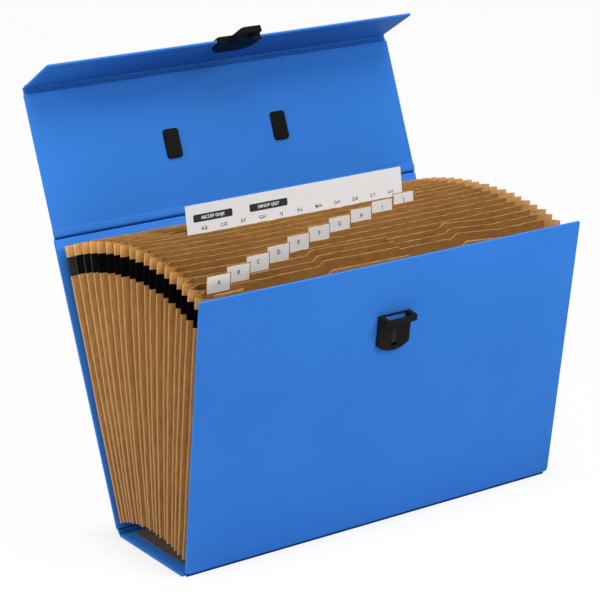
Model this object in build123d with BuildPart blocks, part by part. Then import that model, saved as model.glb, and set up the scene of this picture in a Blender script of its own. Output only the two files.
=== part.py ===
from build123d import *
from math import cos, radians, sin, sqrt
import os

# Expanding carry file, stood open: a blue covered case of five hinged boards, with a kraft
# bellows of pockets fanned between the front and the back board.
# Millimetres. X runs along the length, -Y is the front and +Z is up. The origin is on the base's
# underside, midway between the creases at the feet of the front and the back board.

# Case
panel_length = 390.0
board_thickness = 2.5
case_depth = 114.9
front_height = 254.4
back_height = 259.8
board_corner = 2.0
hinge_gap = 0.3
back_angle = 19.22
front_angle = 10.54

# Covering at the base's creases: a slanting strip at the back and a thin one under the front board
rear_gutter_rise = 6.0
rear_gutter_run = 5.2
rear_strip_thickness = 1.2
front_strip_thickness = 0.6
front_gap = 0.65

# Lid and lip, with the flat strips between the double creases
crease_thickness = 0.9
crease_gap = 0.15
lid_gutter = 8.0
lid_overhang = 7.7
lip_gutter = 6.4
lip_depth = 55.0
lip_inset = 2.5
lip_angle = 81.1

# Base lining, and the covered margin left around it
liner_thickness = 0.5
liner_end_margin = 12.0
liner_side_margin = 3.0

# Bellows, set nearer to the left end of the case
pocket_count = 19
bellows_left_margin = 17.0
bellows_right_margin = 27.5
sheet_thickness = 0.7
sheet_height = 248.0
front_sheet_margin = 1.0
foot_height = 4.2
foot_arch_angle = 19.5
foot_fall_angle = 1.5
lean_taper = 0.4
closed_spare = 3.8

# Gussets: pleated kraft leaves at both ends, with a cloth tape along them
leaf_width = 14.8
leaf_thickness = 0.35
gusset_clearance = 0.3
tape_below_top = 10.0
tape_width = 16.5
tape_clearance = 0.3

# Index tabs, counted from the divider behind the front board and lower towards the back
tab_count = 10
tab_width = 22.5
tab_height = 12.0
tab_height_fall = 0.65
tab_corner = 1.5
tab_from_end = 11.7
tab_step = 24.1
tab_step_growth = 0.48

# Low raised parts of the top edge on the front sheets, cut slanting on the left and falling away
# to the right
rise_sheets = 4
rise_height = 4.0
rise_slant = 5.0
first_rise_start = -70.0
first_rise_width = 82.0
first_rise_end = 2.5
second_rise_start = 67.0
second_rise_width = 44.0
second_rise_end = 0.6
front_rise_width = 27.0

# Index card standing in a pocket
card_divider = 7
card_width = 226.0
card_height = 150.0
card_thickness = 0.5
card_rise = 23.5
card_middle = -7.0
card_clearance = 0.3

# Catch on the front board: a plate with a bowed foot, and a ring standing out at its top
catch_top = 205.9
catch_width = 33.0
catch_height = 34.0
catch_plate = 3.2
catch_bow = 6.0
catch_corner = 2.0
catch_edge = 0.8
collar_height = 5.0
collar_depth = 12.0
collar_wall = 1.8
collar_corner = 1.5
mouth_width = 24.5
mouth_below_collar = 1.5
rail_height = 1.5
rail_thickness = 1.0
slot_width = 5.8
slot_height = 16.5
slot_below_top = 12.8
slot_wall = 1.6
slider_travel = 2.5
slider_clearance = 0.3
slider_flange = 1.5
slider_flange_thickness = 1.1
slider_recess = 0.6
slider_ribs = 5
slider_rib_width = 1.2

# Hasp on the lip
hasp_width = 44.0
hasp_depth = 23.5
hasp_plate = 2.5
hasp_backing = 1.8
hasp_corner = 15.0
hasp_wrap = 2.5
hasp_clearance = 0.1
tongue_length = 28.0
tongue_width = 21.0
tongue_thickness = 5.0
tongue_corner = 4.0
window_width = 13.0
window_length = 15.0
tongue_bar = 3.5

# Carry handle on the lid's outside
handle_spacing = 115.0
handle_middle = -3.0
handle_from_crease = 58.5
handle_plate_width = 15.5
handle_plate_length = 27.0
handle_plate = 2.4
handle_plate_corner = 3.0
handle_plate_edge = 0.8
cap_width = 18.0
cap_length = 30.0
cap_height = 9.0
cap_floor = 3.0
cap_edge = 2.0
strap_width = 20.0
strap_thickness = 3.0
strap_clearance = 0.5
strap_engagement = 11.0
grip_length = 72.0
grip_width = 24.0
grip_height = 7.5
grip_clearance = 0.3
grip_edge = 2.5

# Rivets, which end inside the plate that they hold
rivet_diameter = 4.0
rivet_clearance = 0.1
rivet_bite = 1.6
catch_rivet_spread = 24.0
catch_rivet_below_top = 20.0
hasp_rivet_spread = 24.0
handle_rivet_spread = 15.0

os.makedirs("parts", exist_ok=True)

X_AXIS = Vector(1, 0, 0)


def up(lean):
    """Direction along a board that leans back by lean degrees."""
    return Vector(0, sin(radians(lean)), cos(radians(lean)))


def frontward(lean):
    """Direction square to that board, towards the front."""
    return Vector(0, -cos(radians(lean)), sin(radians(lean)))


def leaning_plane(origin, lean):
    """Plane of a board: x along the file, y up the board, z towards the front."""
    return Plane(origin=origin, x_dir=X_AXIS, z_dir=frontward(lean))


def save(builder, name):
    builder.part.label = name
    export_step(builder.part, f"parts/{name}.step")


def panel(plane, width, low, high, start, end, middle=0.0, corner=0.0, holes=()):
    """Flat board on a plane, from height low to high and from depth start to end."""
    with BuildPart() as board:
        with BuildSketch(plane.offset(start)) as outline:
            with Locations((middle, (low + high) / 2)):
                Rectangle(width, high - low)
            if corner:
                fillet(outline.vertices().group_by(Axis.Y)[-1], corner)
            if holes:
                with Locations(*holes):
                    Circle(rivet_diameter / 2 + rivet_clearance, mode=Mode.SUBTRACT)
        extrude(amount=end - start)
    return board


def rivets(plane, places, start, end):
    """Pins through a board, from depth start to end."""
    with BuildPart() as pins:
        with BuildSketch(plane.offset(start)):
            with Locations(*places):
                Circle(rivet_diameter / 2)
        extrude(amount=end - start)
    return pins


# Places worked out from the driving dimensions. The lid folds back about its strip's outer side.
# The lid and the lip fold forward about their strips' inner side, so a board's faces lie
# inner_face and outer_face from those creases.

half_depth = case_depth / 2
base_rear = half_depth - rear_gutter_run
base_fore = -half_depth + board_thickness + front_gap
sheet_offset = board_thickness + sheet_thickness / 2
inner_face = board_thickness - crease_thickness
outer_face = -crease_thickness
lid_depth = case_depth + lid_overhang
lip_lean = back_angle - lip_angle
lip_width = panel_length - 2 * lip_inset

back_hinge = Vector(0, half_depth, rear_gutter_rise)
front_hinge = Vector(0, -half_depth, front_strip_thickness)
lid_crease = back_hinge + up(back_angle) * back_height
lid_hinge = lid_crease + up(back_angle) * lid_gutter + frontward(back_angle) * crease_thickness
lip_crease = lid_hinge + up(back_angle) * lid_depth
lip_hinge = lip_crease + up(back_angle) * lip_gutter

back_plane = leaning_plane(back_hinge, back_angle)
front_plane = leaning_plane(front_hinge, -front_angle)
strip_plane = leaning_plane(lid_crease, back_angle)
lid_plane = leaning_plane(lid_hinge, back_angle)
lip_strip_plane = leaning_plane(lip_crease, back_angle)
lip_plane = leaning_plane(lip_hinge, lip_lean)

sheet_width = panel_length - bellows_left_margin - bellows_right_margin
bellows_middle = (bellows_left_margin - bellows_right_margin) / 2
bellows_left = bellows_middle - sheet_width / 2

# The feet of the sheets climb from the back board, arch over and come down to the front board.
# The leans step from the back board's to the front board's, in wider steps at the back.
mean_lean_step = (back_angle + front_angle) / pocket_count
foot_pitch = (case_depth - 2 * sheet_offset - closed_spare) / (pocket_count - 1)
sheet_leans = [back_angle]
sheet_feet = [back_hinge + frontward(back_angle) * sheet_offset + up(back_angle) * foot_height]
for pocket in range(pocket_count):
    place = 1 - (2 * pocket + 1) / pocket_count
    sheet_leans.append(sheet_leans[-1] - mean_lean_step * (1 + lean_taper * place))
    climb = foot_arch_angle * place - foot_fall_angle
    sheet_feet.append(sheet_feet[-1] + frontward(climb) * foot_pitch)
front_inner = front_hinge - frontward(-front_angle) * sheet_offset
front_foot_height = (sheet_feet[-1] - front_inner).dot(up(-front_angle))
sheet_feet[-1] = front_inner + up(-front_angle) * front_foot_height

catch_rivets_at = [(side * catch_rivet_spread / 2, catch_top - catch_rivet_below_top) for side in (-1, 1)]
hasp_rivets_at = [(side * hasp_rivet_spread / 2, lip_depth - hasp_depth / 2) for side in (-1, 1)]
handle_sides = [(handle_middle + side * handle_spacing / 2, handle_from_crease) for side in (-1, 1)]
handle_rivets_at = [(x, y + end * handle_rivet_spread / 2) for x, y in handle_sides for end in (-1, 1)]

# Case boards and the covering strips between them

with BuildPart() as base_board:
    with BuildSketch():
        with Locations((0, (base_rear + base_fore) / 2)):
            Rectangle(panel_length, base_rear - base_fore)
    extrude(amount=board_thickness)
save(base_board, "base_board")

with BuildPart() as base_liner:
    with BuildSketch(Plane.XY.offset(board_thickness)):
        with Locations((0, (base_rear + base_fore) / 2)):
            Rectangle(panel_length - 2 * liner_end_margin, base_rear - base_fore - 2 * liner_side_margin)
    extrude(amount=liner_thickness)
save(base_liner, "base_liner")

with BuildPart() as rear_strip:
    with BuildSketch(Plane.YZ):
        Polygon(
            (base_rear + crease_gap, 0),
            (half_depth - hinge_gap, rear_gutter_rise - rear_strip_thickness),
            (half_depth - hinge_gap, rear_gutter_rise),
            (base_rear + crease_gap, rear_strip_thickness),
            align=None,
        )
    extrude(amount=panel_length / 2, both=True)
save(rear_strip, "rear_crease_strip")

with BuildPart() as front_strip:
    with BuildSketch(Plane.YZ):
        Polygon(
            (-half_depth, 0),
            (base_fore - crease_gap, 0),
            (base_fore - crease_gap, front_strip_thickness),
            (-half_depth, front_strip_thickness),
            align=None,
        )
    extrude(amount=panel_length / 2, both=True)
save(front_strip, "front_crease_strip")

save(panel(back_plane, panel_length, hinge_gap, back_height - crease_gap, 0, board_thickness), "back_board")
save(
    panel(front_plane, panel_length, hinge_gap, front_height, 0, -board_thickness,
          corner=board_corner, holes=catch_rivets_at),
    "front_board",
)
save(
    panel(strip_plane, panel_length, crease_gap, lid_gutter - crease_gap, 0, crease_thickness),
    "lid_crease_strip",
)
save(
    panel(lid_plane, panel_length, crease_gap, lid_depth - crease_gap, outer_face, inner_face,
          holes=handle_rivets_at),
    "lid_board",
)
save(
    panel(lip_strip_plane, lip_width, crease_gap, lip_gutter - crease_gap, outer_face, 0),
    "lip_crease_strip",
)
save(
    panel(lip_plane, lip_width, crease_gap, lip_depth, outer_face, inner_face,
          corner=board_corner, holes=hasp_rivets_at),
    "lip_board",
)

# Bellows sheets: one glued to each end board, and the dividers between the pockets

save(
    panel(back_plane, sheet_width, foot_height, foot_height + sheet_height,
          board_thickness, board_thickness + sheet_thickness, middle=bellows_middle),
    "back_sheet",
)


def tab_place(divider):
    """Middle of a divider's index tab along the file and its height, or None where it has none."""
    number = pocket_count - 1 - divider
    if 0 <= number < tab_count:
        along = bellows_left + tab_from_end + tab_step * number + tab_step_growth * number ** 2
        return along, tab_height - tab_height_fall * number
    return None


def add_rises(top):
    """Raised parts of a sheet's top edge, added to the open sketch."""
    for start, width, end in (
        (first_rise_start, first_rise_width, first_rise_end),
        (second_rise_start, second_rise_width, second_rise_end),
    ):
        Polygon(
            (start, top - rise_height),
            (start, top),
            (start + rise_slant, top + rise_height),
            (start + width, top + end),
            (start + width, top - rise_height),
            align=None,
        )


with BuildPart() as front_sheet:
    with BuildSketch(front_plane.offset(-board_thickness)):
        front_sheet_top = front_height - front_sheet_margin
        with Locations((bellows_middle, (front_foot_height + front_sheet_top) / 2)):
            Rectangle(sheet_width, front_sheet_top - front_foot_height)
        with Locations((bellows_left + front_rise_width / 2, front_sheet_top)):
            Rectangle(front_rise_width, 2 * rise_height)
        add_rises(front_sheet_top)
    extrude(amount=-sheet_thickness)
save(front_sheet, "front_sheet")

for divider in range(1, pocket_count):
    tab = tab_place(divider)
    with BuildPart() as divider_sheet:
        with BuildSketch(leaning_plane(sheet_feet[divider], sheet_leans[divider])) as outline:
            with Locations((bellows_middle, sheet_height / 2)):
                Rectangle(sheet_width, sheet_height)
            if divider > pocket_count - rise_sheets:
                add_rises(sheet_height)
            if tab is not None:
                with Locations((tab[0], sheet_height)):
                    Rectangle(tab_width, 2 * tab[1])
                fillet(outline.vertices().group_by(Axis.Y)[-1], tab_corner)
        extrude(amount=sheet_thickness / 2, both=True)
    save(divider_sheet, f"divider_{divider:02d}")

card_low = sheet_height + card_rise - card_height
card_start = sheet_thickness / 2 + card_clearance
card_plane = leaning_plane(sheet_feet[card_divider], sheet_leans[card_divider])
save(
    panel(card_plane, card_width, card_low, card_low + card_height, card_start, card_start + card_thickness,
          middle=card_middle),
    "index_card",
)

# Gussets

sheet_tops = [foot + up(lean) * sheet_height for foot, lean in zip(sheet_feet, sheet_leans)]
valley_x = sheet_width / 2 + gusset_clearance
foot_gaps = [(sheet_feet[pocket + 1] - sheet_feet[pocket]).length for pocket in range(pocket_count)]
top_gaps = [(sheet_tops[pocket + 1] - sheet_tops[pocket]).length for pocket in range(pocket_count)]


def fold_reach(gap):
    """How far a pleat stands out when its two leaves span a gap."""
    return sqrt(leaf_width ** 2 - (gap / 2) ** 2)


def fold_thickness(gap):
    """A leaf's thickness measured along X, where its two leaves span a gap."""
    return leaf_thickness * leaf_width / (gap / 2)


def fold_lines():
    """Folds from back to front, as (foot, top, foot x, top x, foot thickness, top thickness)."""
    folds = []
    for sheet in range(pocket_count + 1):
        behind = max(sheet - 1, 0)
        ahead = min(sheet, pocket_count - 1)
        foot_gap = (foot_gaps[behind] + foot_gaps[ahead]) / 2
        top_gap = (top_gaps[behind] + top_gaps[ahead]) / 2
        folds.append((sheet_feet[sheet], sheet_tops[sheet], valley_x, valley_x,
                      fold_thickness(foot_gap), fold_thickness(top_gap)))
        if sheet < pocket_count:
            foot_gap = foot_gaps[sheet]
            top_gap = top_gaps[sheet]
            folds.append(((sheet_feet[sheet] + sheet_feet[sheet + 1]) / 2,
                          (sheet_tops[sheet] + sheet_tops[sheet + 1]) / 2,
                          valley_x + fold_reach(foot_gap), valley_x + fold_reach(top_gap),
                          fold_thickness(foot_gap), fold_thickness(top_gap)))
    return folds


def pleats(side, is_tape):
    """Zigzag sheet over all the folds of one end, or the tape that follows it outside."""
    with BuildPart() as zigzag:
        for foot, top, foot_x, top_x, foot_thick, top_thick in fold_lines():
            length = (top - foot).length
            climb_axis = (top - foot).normalized()
            low = length - tape_below_top - tape_width if is_tape else 0.0
            high = length - tape_below_top if is_tape else length
            corners = []
            for height, inner_first in ((low, True), (high, False)):
                share = height / length
                inner = foot_x + (top_x - foot_x) * share
                thick = foot_thick + (top_thick - foot_thick) * share
                if is_tape:
                    inner += thick + tape_clearance
                pair = [(bellows_middle + side * x, height) for x in (inner, inner + thick)]
                corners += pair if inner_first else pair[::-1]
            with BuildSketch(Plane(origin=foot, x_dir=X_AXIS, z_dir=X_AXIS.cross(climb_axis))):
                with BuildLine():
                    Polyline(*corners, close=True)
                make_face()
        loft(ruled=True)
    return zigzag


for side_name, side in (("left", -1), ("right", 1)):
    save(pleats(side, False), f"gusset_{side_name}")
    save(pleats(side, True), f"gusset_tape_{side_name}")

# Catch: the ring's mouth is open down to the board, behind a thin rail, and a ribbed slide runs in
# a slot of the plate

catch_foot = catch_top - catch_height
slot_middle = catch_top - slot_below_top - slot_height / 2
hollow_width = slot_width + 2 * (slider_flange + slider_clearance)
hollow_height = slot_height + 2 * (slider_flange + slider_clearance)
hollow_depth = catch_plate - slot_wall
slider_width = slot_width - 2 * slider_clearance
slider_height = slot_height - slider_travel - 2 * slider_clearance
slider_middle = slot_middle + slider_travel / 2
slider_start = hollow_depth - slider_clearance - slider_flange_thickness

with BuildPart() as catch_body:
    with BuildSketch(front_plane) as plate_outline:
        with BuildLine():
            ThreePointArc((-catch_width / 2, catch_foot + catch_bow), (0, catch_foot),
                          (catch_width / 2, catch_foot + catch_bow))
            Polyline((catch_width / 2, catch_foot + catch_bow), (catch_width / 2, catch_top),
                     (-catch_width / 2, catch_top), (-catch_width / 2, catch_foot + catch_bow))
        make_face()
        fillet(plate_outline.vertices().group_by(Axis.Y)[0], catch_corner)
    extrude(amount=catch_plate)
    plate_face = catch_body.faces().sort_by(Axis(front_hinge, frontward(-front_angle)))[-1]
    fillet(plate_face.edges(), catch_edge)
    with BuildSketch(front_plane) as ring_outline:
        with Locations((0, catch_top - collar_height / 2)):
            Rectangle(catch_width, collar_height)
    extrude(amount=collar_depth)
    ring_face = catch_body.faces().sort_by(Axis(front_hinge, frontward(-front_angle)))[-1]
    fillet(ring_face.edges().sort_by(Axis.X)[0], collar_corner)
    ring_face = catch_body.faces().sort_by(Axis(front_hinge, frontward(-front_angle)))[-1]
    fillet(ring_face.edges().sort_by(Axis.X)[-1], collar_corner)
    with BuildSketch(front_plane):
        with Locations((0, catch_top - collar_height / 2)):
            Rectangle(mouth_width, collar_height)
    extrude(amount=collar_depth - collar_wall, mode=Mode.SUBTRACT)
    with BuildSketch(front_plane):
        with Locations((0, catch_top - collar_height - mouth_below_collar / 2)):
            Rectangle(mouth_width, mouth_below_collar)
    extrude(amount=catch_plate, mode=Mode.SUBTRACT)
    with BuildSketch(front_plane):
        with Locations((0, catch_top - rail_height / 2)):
            Rectangle(mouth_width, rail_height)
    extrude(amount=rail_thickness)
    with BuildSketch(front_plane):
        with Locations((0, slot_middle)):
            Rectangle(hollow_width, hollow_height)
    extrude(amount=hollow_depth, mode=Mode.SUBTRACT)
    with BuildSketch(front_plane):
        with Locations((0, slot_middle)):
            Rectangle(slot_width, slot_height)
    extrude(amount=catch_plate, mode=Mode.SUBTRACT)
    with BuildSketch(front_plane):
        with Locations(*catch_rivets_at):
            Circle(rivet_diameter / 2 + rivet_clearance)
    extrude(amount=rivet_bite + rivet_clearance, mode=Mode.SUBTRACT)
save(catch_body, "catch_body")

with BuildPart() as catch_slider:
    with BuildSketch(front_plane.offset(slider_start)):
        with Locations((0, slider_middle)):
            Rectangle(slot_width + 2 * slider_flange, slider_height + 2 * slider_flange)
    extrude(amount=slider_flange_thickness)
    with BuildSketch(front_plane.offset(slider_start)):
        with Locations((0, slider_middle)):
            Rectangle(slider_width, slider_height)
    extrude(amount=catch_plate - slider_recess - slider_start)
    with BuildSketch(front_plane.offset(catch_plate - slider_recess)):
        with Locations((0, slider_middle)):
            with GridLocations(0, slider_height / slider_ribs, 1, slider_ribs):
                Rectangle(slider_width, slider_rib_width)
    extrude(amount=slider_recess)
save(catch_slider, "catch_slider")

save(rivets(front_plane, catch_rivets_at, -board_thickness, rivet_bite), "catch_rivets")

# Hasp: a plate inside the lip that wraps over its edge and ends in a windowed tongue, and a plate
# outside

tongue_start = inner_face + hasp_plate - tongue_thickness
wrap_start = outer_face - hasp_backing
wrap_low = lip_depth + hasp_clearance
tongue_end = lip_depth + tongue_length

with BuildPart() as hasp_tongue:
    with BuildSketch(lip_plane.offset(inner_face)) as plate_outline:
        with Locations((0, lip_depth + (hasp_wrap - hasp_depth) / 2)):
            Rectangle(hasp_width, hasp_depth + hasp_wrap)
        fillet(plate_outline.vertices().group_by(Axis.Y)[0], hasp_corner)
    extrude(amount=hasp_plate)
    with BuildSketch(lip_plane.offset(wrap_start)):
        with Locations((0, (wrap_low + lip_depth + hasp_wrap) / 2)):
            Rectangle(hasp_width, lip_depth + hasp_wrap - wrap_low)
    extrude(amount=inner_face + hasp_plate - wrap_start)
    with BuildSketch(lip_plane.offset(tongue_start)) as tongue_outline:
        with Locations((0, (wrap_low + tongue_end) / 2)):
            Rectangle(tongue_width, tongue_end - wrap_low)
        fillet(tongue_outline.vertices().group_by(Axis.Y)[-1], tongue_corner)
    extrude(amount=tongue_thickness)
    with BuildSketch(lip_plane.offset(tongue_start)):
        with Locations((0, tongue_end - tongue_bar - window_length / 2)):
            Rectangle(window_width, window_length)
    extrude(amount=tongue_thickness, mode=Mode.SUBTRACT)
    with BuildSketch(lip_plane.offset(inner_face)):
        with Locations(*hasp_rivets_at):
            Circle(rivet_diameter / 2 + rivet_clearance)
    extrude(amount=rivet_bite + rivet_clearance, mode=Mode.SUBTRACT)
save(hasp_tongue, "hasp_tongue")

with BuildPart() as hasp_back:
    with BuildSketch(lip_plane.offset(outer_face)) as back_outline:
        with Locations((0, lip_depth - hasp_depth / 2)):
            Rectangle(hasp_width, hasp_depth)
        fillet(back_outline.vertices().group_by(Axis.Y)[0], hasp_corner)
        with Locations(*hasp_rivets_at):
            Circle(rivet_diameter / 2 + rivet_clearance, mode=Mode.SUBTRACT)
    extrude(amount=-hasp_backing)
save(hasp_back, "hasp_backing")

save(rivets(lip_plane, hasp_rivets_at, wrap_start, inner_face + rivet_bite), "hasp_rivets")

# Carry handle

strap_low = outer_face - cap_floor - strap_clearance
strap_middle = strap_low - strap_thickness / 2

with BuildPart() as handle_plates:
    with BuildSketch(lid_plane.offset(inner_face)):
        with Locations(*handle_sides):
            RectangleRounded(handle_plate_width, handle_plate_length, handle_plate_corner)
    extrude(amount=handle_plate)
    plate_faces = handle_plates.faces().sort_by(Axis(lid_hinge, frontward(back_angle)))[-2:]
    fillet(plate_faces.edges(), handle_plate_edge)
    with BuildSketch(lid_plane.offset(inner_face)):
        with Locations(*handle_rivets_at):
            Circle(rivet_diameter / 2 + rivet_clearance)
    extrude(amount=rivet_bite + rivet_clearance, mode=Mode.SUBTRACT)
save(handle_plates, "handle_backing_plates")

cap_inner = handle_spacing / 2 - cap_width / 2
slot_end = cap_inner + strap_engagement + strap_clearance
with BuildPart() as handle_caps:
    with BuildSketch(lid_plane.offset(outer_face)):
        with Locations(*handle_sides):
            Rectangle(cap_width, cap_length)
    extrude(amount=-cap_height)
    outer_faces = handle_caps.faces().sort_by(Axis(lid_hinge, frontward(back_angle)))[:2]
    fillet(outer_faces.edges(), cap_edge)
    with BuildSketch(lid_plane.offset(outer_face - cap_floor)):
        with Locations((handle_middle, handle_from_crease)):
            Rectangle(2 * slot_end, strap_width + 2 * strap_clearance)
    extrude(amount=-strap_thickness - 2 * strap_clearance, mode=Mode.SUBTRACT)
    with BuildSketch(lid_plane.offset(outer_face)):
        with Locations(*handle_rivets_at):
            Circle(rivet_diameter / 2 + rivet_clearance)
    extrude(amount=-cap_floor, mode=Mode.SUBTRACT)
save(handle_caps, "handle_end_caps")

save(rivets(lid_plane, handle_rivets_at, outer_face - cap_floor, inner_face + rivet_bite), "handle_rivets")

strap_start = grip_length / 2 + grip_clearance
strap_end = cap_inner + strap_engagement
for side_name, side in (("left", -1), ("right", 1)):
    with BuildPart() as handle_strap:
        with BuildSketch(lid_plane.offset(strap_low)):
            with Locations((handle_middle + side * (strap_start + strap_end) / 2, handle_from_crease)):
                Rectangle(strap_end - strap_start, strap_width)
        extrude(amount=-strap_thickness)
    save(handle_strap, f"handle_strap_{side_name}")

with BuildPart() as handle_grip:
    with BuildSketch(lid_plane.offset(strap_middle + grip_height / 2)):
        with Locations((handle_middle, handle_from_crease)):
            Rectangle(grip_length, grip_width)
    extrude(amount=-grip_height)
    fillet(handle_grip.edges().filter_by(Axis.X), grip_edge)
save(handle_grip, "handle_grip")
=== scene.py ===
import math
from functools import partial

import bmesh
import bpy
from mathutils import Matrix, Vector, noise


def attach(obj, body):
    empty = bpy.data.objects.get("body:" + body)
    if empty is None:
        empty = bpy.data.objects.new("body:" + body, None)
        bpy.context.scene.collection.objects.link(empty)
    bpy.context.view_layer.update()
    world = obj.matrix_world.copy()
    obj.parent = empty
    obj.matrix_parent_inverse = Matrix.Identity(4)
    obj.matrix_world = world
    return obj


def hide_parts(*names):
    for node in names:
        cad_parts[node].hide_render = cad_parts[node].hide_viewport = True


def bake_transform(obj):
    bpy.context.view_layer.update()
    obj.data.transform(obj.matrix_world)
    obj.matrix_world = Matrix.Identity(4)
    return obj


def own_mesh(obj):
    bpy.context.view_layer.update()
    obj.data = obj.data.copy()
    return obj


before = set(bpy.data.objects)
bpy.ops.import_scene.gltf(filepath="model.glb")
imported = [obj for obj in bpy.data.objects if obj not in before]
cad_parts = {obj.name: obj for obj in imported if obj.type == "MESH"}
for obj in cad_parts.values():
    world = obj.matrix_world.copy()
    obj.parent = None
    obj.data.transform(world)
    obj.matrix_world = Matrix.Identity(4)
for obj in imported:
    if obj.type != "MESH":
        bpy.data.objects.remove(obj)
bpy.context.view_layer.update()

# Metres in a millimetre
MM = 0.001

# Sizes in millimetres and angles in degrees, as in the part's source
panel_length = 390.0
board_thickness = 2.5
case_depth = 114.9
front_height = 254.4
back_height = 259.8
board_corner = 2.0
hinge_gap = 0.3
back_angle = 19.22
front_angle = 10.54
rear_gutter_rise = 6.0
rear_gutter_run = 5.2
front_strip_thickness = 0.6
front_gap = 0.65
crease_thickness = 0.9
crease_gap = 0.15
lid_gutter = 8.0
lid_overhang = 7.7
lip_gutter = 6.4
lip_depth = 55.0
lip_inset = 2.5
lip_angle = 81.1
pocket_count = 19
bellows_left_margin = 17.0
bellows_right_margin = 27.5
sheet_thickness = 0.7
sheet_height = 248.0
front_sheet_margin = 1.0
foot_height = 4.2
foot_arch_angle = 19.5
foot_fall_angle = 1.5
lean_taper = 0.4
closed_spare = 3.8
leaf_width = 14.8
gusset_clearance = 0.3
tape_below_top = 10.0
tape_width = 16.5
tab_count = 10
tab_width = 22.5
tab_height = 12.0
tab_height_fall = 0.65
tab_from_end = 11.7
tab_step = 24.1
tab_step_growth = 0.48
rise_sheets = 4
rise_height = 4.0
rise_slant = 5.0
first_rise_start = -70.0
first_rise_width = 82.0
first_rise_end = 2.5
second_rise_start = 67.0
second_rise_width = 44.0
second_rise_end = 0.6
front_rise_width = 27.0
card_divider = 7
card_width = 226.0
card_height = 150.0
card_thickness = 0.5
card_rise = 23.5
card_middle = -7.0
card_clearance = 0.3
handle_middle = -3.0
handle_from_crease = 58.5
strap_width = 20.0
strap_thickness = 3.0
catch_top = 205.9
slot_below_top = 12.8
slot_height = 16.5

# Ends of the handle's straps from its middle, and their distance out from the lid's outer face, which
# the source works out from the grip and the caps
strap_start = 36.3
strap_end = 59.5
strap_low = 3.5


def up(lean):
    return Vector((0, math.sin(math.radians(lean)), math.cos(math.radians(lean))))


def frontward(lean):
    return Vector((0, -math.cos(math.radians(lean)), math.sin(math.radians(lean))))


def leaning(origin, lean):
    """Maps x along the file, y up a leaning board and z towards the front to a place in metres."""
    rise = up(lean)
    ahead = frontward(lean)

    def to_world(x, y, z=0.0):
        return (origin + Vector((x, 0, 0)) + rise * y + ahead * z) * MM

    return to_world


def level(x, y, z=0.0):
    """Maps a place in the shared frame from millimetres to metres."""
    return Vector((x, y, z)) * MM


# Places worked out as in the part's source
half_length = panel_length / 2
half_depth = case_depth / 2
base_rear = half_depth - rear_gutter_run
base_fore = -half_depth + board_thickness + front_gap
sheet_offset = board_thickness + sheet_thickness / 2
inner_face = board_thickness - crease_thickness
outer_face = -crease_thickness
lid_depth = case_depth + lid_overhang
lip_lean = back_angle - lip_angle
lip_half = half_length - lip_inset
back_hinge = Vector((0, half_depth, rear_gutter_rise))
front_hinge = Vector((0, -half_depth, front_strip_thickness))
lid_crease = back_hinge + up(back_angle) * back_height
lid_hinge = lid_crease + up(back_angle) * lid_gutter + frontward(back_angle) * crease_thickness
lip_crease = lid_hinge + up(back_angle) * lid_depth
lip_hinge = lip_crease + up(back_angle) * lip_gutter
back_at = leaning(back_hinge, back_angle)
front_at = leaning(front_hinge, -front_angle)
strip_at = leaning(lid_crease, back_angle)
lid_at = leaning(lid_hinge, back_angle)
lip_strip_at = leaning(lip_crease, back_angle)
lip_at = leaning(lip_hinge, lip_lean)

sheet_width = panel_length - bellows_left_margin - bellows_right_margin
bellows_middle = (bellows_left_margin - bellows_right_margin) / 2
bellows_left = bellows_middle - sheet_width / 2
bellows_right = bellows_middle + sheet_width / 2
mean_lean_step = (back_angle + front_angle) / pocket_count
foot_pitch = (case_depth - 2 * sheet_offset - closed_spare) / (pocket_count - 1)
sheet_leans = [back_angle]
sheet_feet = [back_hinge + frontward(back_angle) * sheet_offset + up(back_angle) * foot_height]
for pocket in range(pocket_count):
    place = 1 - (2 * pocket + 1) / pocket_count
    sheet_leans.append(sheet_leans[-1] - mean_lean_step * (1 + lean_taper * place))
    climb = foot_arch_angle * place - foot_fall_angle
    sheet_feet.append(sheet_feet[-1] + frontward(climb) * foot_pitch)
front_inner = front_hinge - frontward(-front_angle) * sheet_offset
front_foot_height = (sheet_feet[-1] - front_inner).dot(up(-front_angle))
sheet_feet[-1] = front_inner + up(-front_angle) * front_foot_height
front_sheet_height = front_height - front_sheet_margin - front_foot_height
sheet_at = [leaning(foot, lean) for foot, lean in zip(sheet_feet, sheet_leans)]
sheet_bodies = ["back_panel"]
sheet_bodies += [f"pocket_sheet_{number:02d}" for number in range(1, pocket_count)]
sheet_bodies += ["front_panel"]


def drift(place, rates, shift=(0.0, 0.0, 0.0)):
    """Smooth unevenness from -1 to 1 at a place, with a rate of change for each direction."""
    return noise.noise(Vector([part * rate + start for part, rate, start in zip(place, rates, shift)]))


# Material helpers

def new_material(name):
    material = bpy.data.materials.new(name)
    material.use_nodes = True
    tree = material.node_tree
    shader = tree.nodes["Principled BSDF"]
    return material, tree, shader


def add_node(tree, kind, **inputs):
    node = tree.nodes.new(kind)
    for key, value in inputs.items():
        node.inputs[key.replace("_", " ")].default_value = value
    return node


def coordinates(tree):
    return tree.nodes.new("ShaderNodeTexCoord").outputs["Object"]


def scaled_noise(tree, coords, scale, detail=3.0, stretch=None):
    if stretch is not None:
        mapping = add_node(tree, "ShaderNodeMapping", Scale=stretch)
        tree.links.new(coords, mapping.inputs["Vector"])
        coords = mapping.outputs["Vector"]
    node = add_node(tree, "ShaderNodeTexNoise", Scale=scale, Detail=detail)
    tree.links.new(coords, node.inputs["Vector"])
    return node.outputs["Fac"]


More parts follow.
